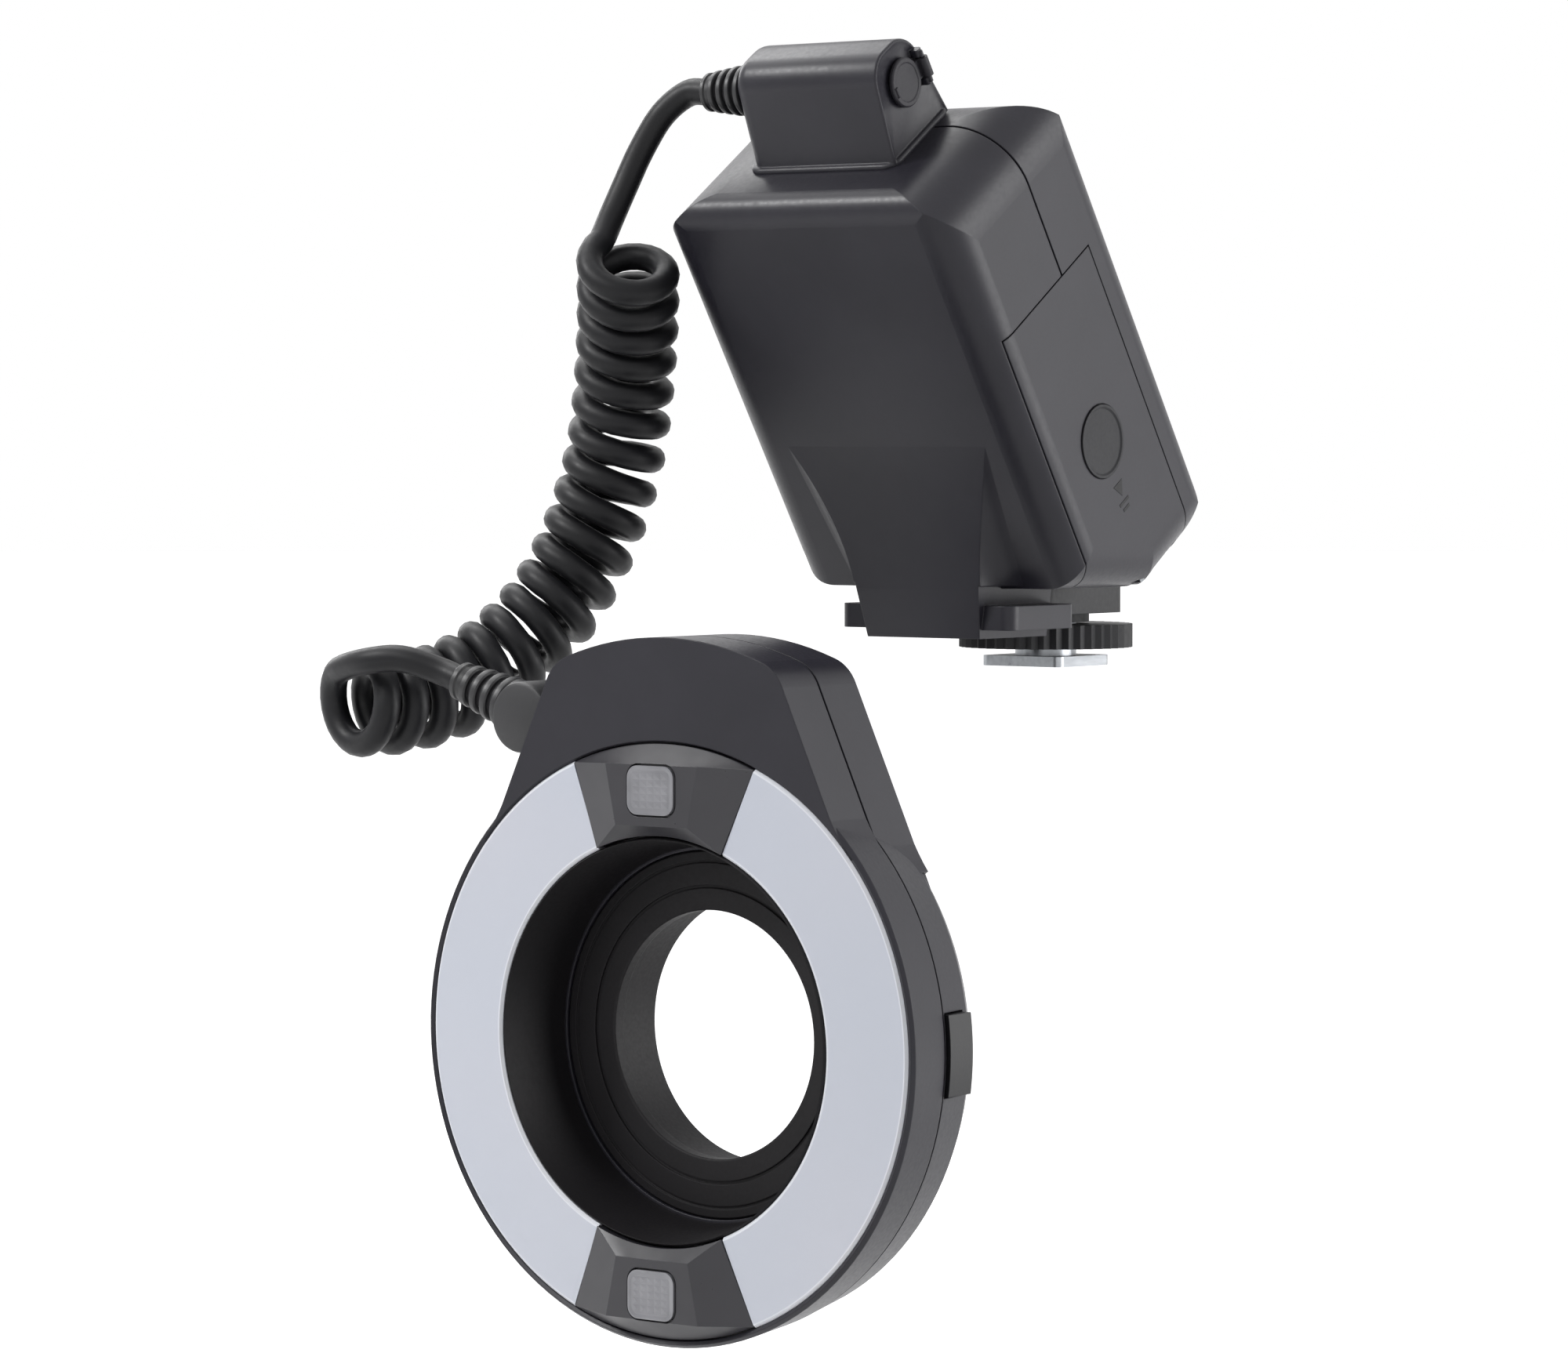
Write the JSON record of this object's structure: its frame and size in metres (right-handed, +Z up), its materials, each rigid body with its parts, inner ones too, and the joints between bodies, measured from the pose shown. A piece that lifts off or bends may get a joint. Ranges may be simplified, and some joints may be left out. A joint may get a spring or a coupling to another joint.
{
  "type": "macro ring flash",
  "caption": "Ring-shaped macro flash head that screws onto a lens, wired by a curly cord to a leaning control unit on a hot-shoe foot.",
  "frame": {"origin": "centre of the underside of the hot-shoe foot's plate", "axes": "+X to the right seen from the front of the flash, +Y to the back (away from the subject), +Z up"},
  "size_m": [0.1435, 0.1427, 0.236],
  "materials": {
    "charcoal_plastic": "satin",
    "black_plastic": "satin",
    "test_key": "gloss",
    "black_rubber": "matte",
    "frosted_plastic": "satin",
    "lamp_lens": "gloss",
    "display_glass": "gloss",
    "display": "satin",
    "tube_glass": "gloss",
    "reflector_metal": "polished",
    "steel": "satin",
    "gold_brass": "polished",
    "circuit_board": "satin",
    "cell_jacket": "satin",
    "capacitor_can": "satin",
    "winding_core": "matte"
  },
  "bodies": {
    "control_unit": {"front_shell": "charcoal_plastic", "rear_shell": "charcoal_plastic", "cord_head": "charcoal_plastic", "power_socket": "black_plastic", "head_gland": "black_rubber", "foot_base": "charcoal_plastic", "shoe_foot": "steel", "battery_box": "black_plastic", "battery_cells": "cell_jacket", "battery_contacts": "steel", "main_board": "circuit_board", "flash_capacitor": "capacitor_can", "step_up_transformer": "winding_core", "display_module": "display", "display_window": "display_glass", "case_screws": "steel", "ring_front_shell": "charcoal_plastic", "ring_rear_shell": "charcoal_plastic", "inner_barrel": "black_plastic", "diffuser_left": "frosted_plastic", "diffuser_right": "frosted_plastic", "reflector_left": "reflector_metal", "reflector_right": "reflector_metal", "flash_tube_left": "tube_glass", "flash_tube_right": "tube_glass", "lamp_bridge_top": "charcoal_plastic", "lamp_bridge_bottom": "charcoal_plastic", "lamp_window_top": "lamp_lens", "lamp_window_bottom": "lamp_lens", "focusing_lamps": "tube_glass", "release_springs": "steel", "latch_ring": "steel", "trigger_coil": "winding_core", "ring_gland": "black_rubber", "ring_screws": "steel", "cord_top_lead": "black_rubber", "cord_coil": "black_rubber", "cord_ring_lead": "black_rubber"},
    "lock_wheel": {"lock_wheel": "black_plastic"},
    "lock_pin": {"lock_pin": "steel"},
    "shoe_contacts": {"shoe_contacts": "gold_brass"},
    "door_carriage": {"door_hinge": "black_plastic", "door_pin": "steel"},
    "battery_door": {"battery_door": "charcoal_plastic", "door_thumb_pad": "black_rubber", "door_contacts": "steel"},
    "socket_cover": {"socket_cover": "black_rubber"},
    "power_switch": {"power_switch": "black_plastic"},
    "light_button": {"light_button": "black_plastic"},
    "mode_button": {"mode_button": "black_plastic"},
    "sync_button": {"sync_button": "black_plastic"},
    "ratio_button": {"ratio_button": "black_plastic"},
    "minus_button": {"minus_button": "black_plastic"},
    "set_button": {"set_button": "black_plastic"},
    "plus_button": {"plus_button": "black_plastic"},
    "test_button": {"test_button": "test_key"},
    "release_button_left": {"release_button_left": "black_plastic"},
    "release_button_right": {"release_button_right": "black_plastic"},
    "adapter_ring": {"adapter_ring": "black_plastic"}
  },
  "joints": [
    {"name": "wheel_turn", "type": "hinge", "parent": "control_unit", "child": "lock_wheel", "pos_m": [0, 0, 0.0059], "axis": [0, 0, 1], "range_deg": [0, 90]},
    {"name": "pin_drop", "type": "slide", "parent": "control_unit", "child": "lock_pin", "axis": [0, 0, 1], "range_m": [-0.0012, 0]},
    {"name": "contacts_press", "type": "slide", "parent": "control_unit", "child": "shoe_contacts", "axis": [0, 0, 1], "range_m": [0, 0.0005], "stiffness_N_per_m": 600},
    {"name": "door_slide", "type": "slide", "parent": "control_unit", "child": "door_carriage", "axis": [0, 0.5592, -0.829], "range_m": [0, 0.004]},
    {"name": "door_swing", "type": "hinge", "parent": "door_carriage", "child": "battery_door", "pos_m": [0.0289, -0.01189, 0.01678], "axis": [0, 0.829, 0.5592], "range_deg": [0, 95]},
    {"name": "cover_swing", "type": "hinge", "parent": "control_unit", "child": "socket_cover", "pos_m": [0.018, -0.06643, 0.11267], "axis": [0, -0.5592, 0.829], "range_deg": [0, 105]},
    {"name": "power_slide", "type": "slide", "parent": "control_unit", "child": "power_switch", "axis": [1, 0, 0], "range_m": [0, 0.004]},
    {"name": "light_press", "type": "slide", "parent": "control_unit", "child": "light_button", "axis": [0, -0.829, -0.5592], "range_m": [0, 0.0006], "stiffness_N_per_m": 800},
    {"name": "mode_press", "type": "slide", "parent": "control_unit", "child": "mode_button", "axis": [0, -0.829, -0.5592], "range_m": [0, 0.0006], "stiffness_N_per_m": 800},
    {"name": "sync_press", "type": "slide", "parent": "control_unit", "child": "sync_button", "axis": [0, -0.829, -0.5592], "range_m": [0, 0.0006], "stiffness_N_per_m": 800},
    {"name": "ratio_press", "type": "slide", "parent": "control_unit", "child": "ratio_button", "axis": [0, -0.829, -0.5592], "range_m": [0, 0.0006], "stiffness_N_per_m": 800},
    {"name": "minus_press", "type": "slide", "parent": "control_unit", "child": "minus_button", "axis": [0, -0.829, -0.5592], "range_m": [0, 0.0006], "stiffness_N_per_m": 800},
    {"name": "set_press", "type": "slide", "parent": "control_unit", "child": "set_button", "axis": [0, -0.829, -0.5592], "range_m": [0, 0.0006], "stiffness_N_per_m": 800},
    {"name": "plus_press", "type": "slide", "parent": "control_unit", "child": "plus_button", "axis": [0, -0.829, -0.5592], "range_m": [0, 0.0006], "stiffness_N_per_m": 800},
    {"name": "test_press", "type": "slide", "parent": "control_unit", "child": "test_button", "axis": [0, -0.829, -0.5592], "range_m": [0, 0.0006], "stiffness_N_per_m": 800},
    {"name": "release_left_press", "type": "slide", "parent": "control_unit", "child": "release_button_left", "axis": [1, 0, 0], "range_m": [0, 0.002], "stiffness_N_per_m": 500, "deforming": ["release_springs"]},
    {"name": "release_right_press", "type": "slide", "parent": "control_unit", "child": "release_button_right", "axis": [-1, 0, 0], "range_m": [0, 0.002], "stiffness_N_per_m": 500},
    {"name": "adapter_spin", "type": "hinge", "parent": "control_unit", "child": "adapter_ring", "pos_m": [0, -0.104, -0.0635], "axis": [0, 1, 0], "continuous": true}
  ],
  "couplings": [
    {"joint": "pin_drop", "follows": "wheel_turn", "m_per_rad": -0.000763}
  ]
}
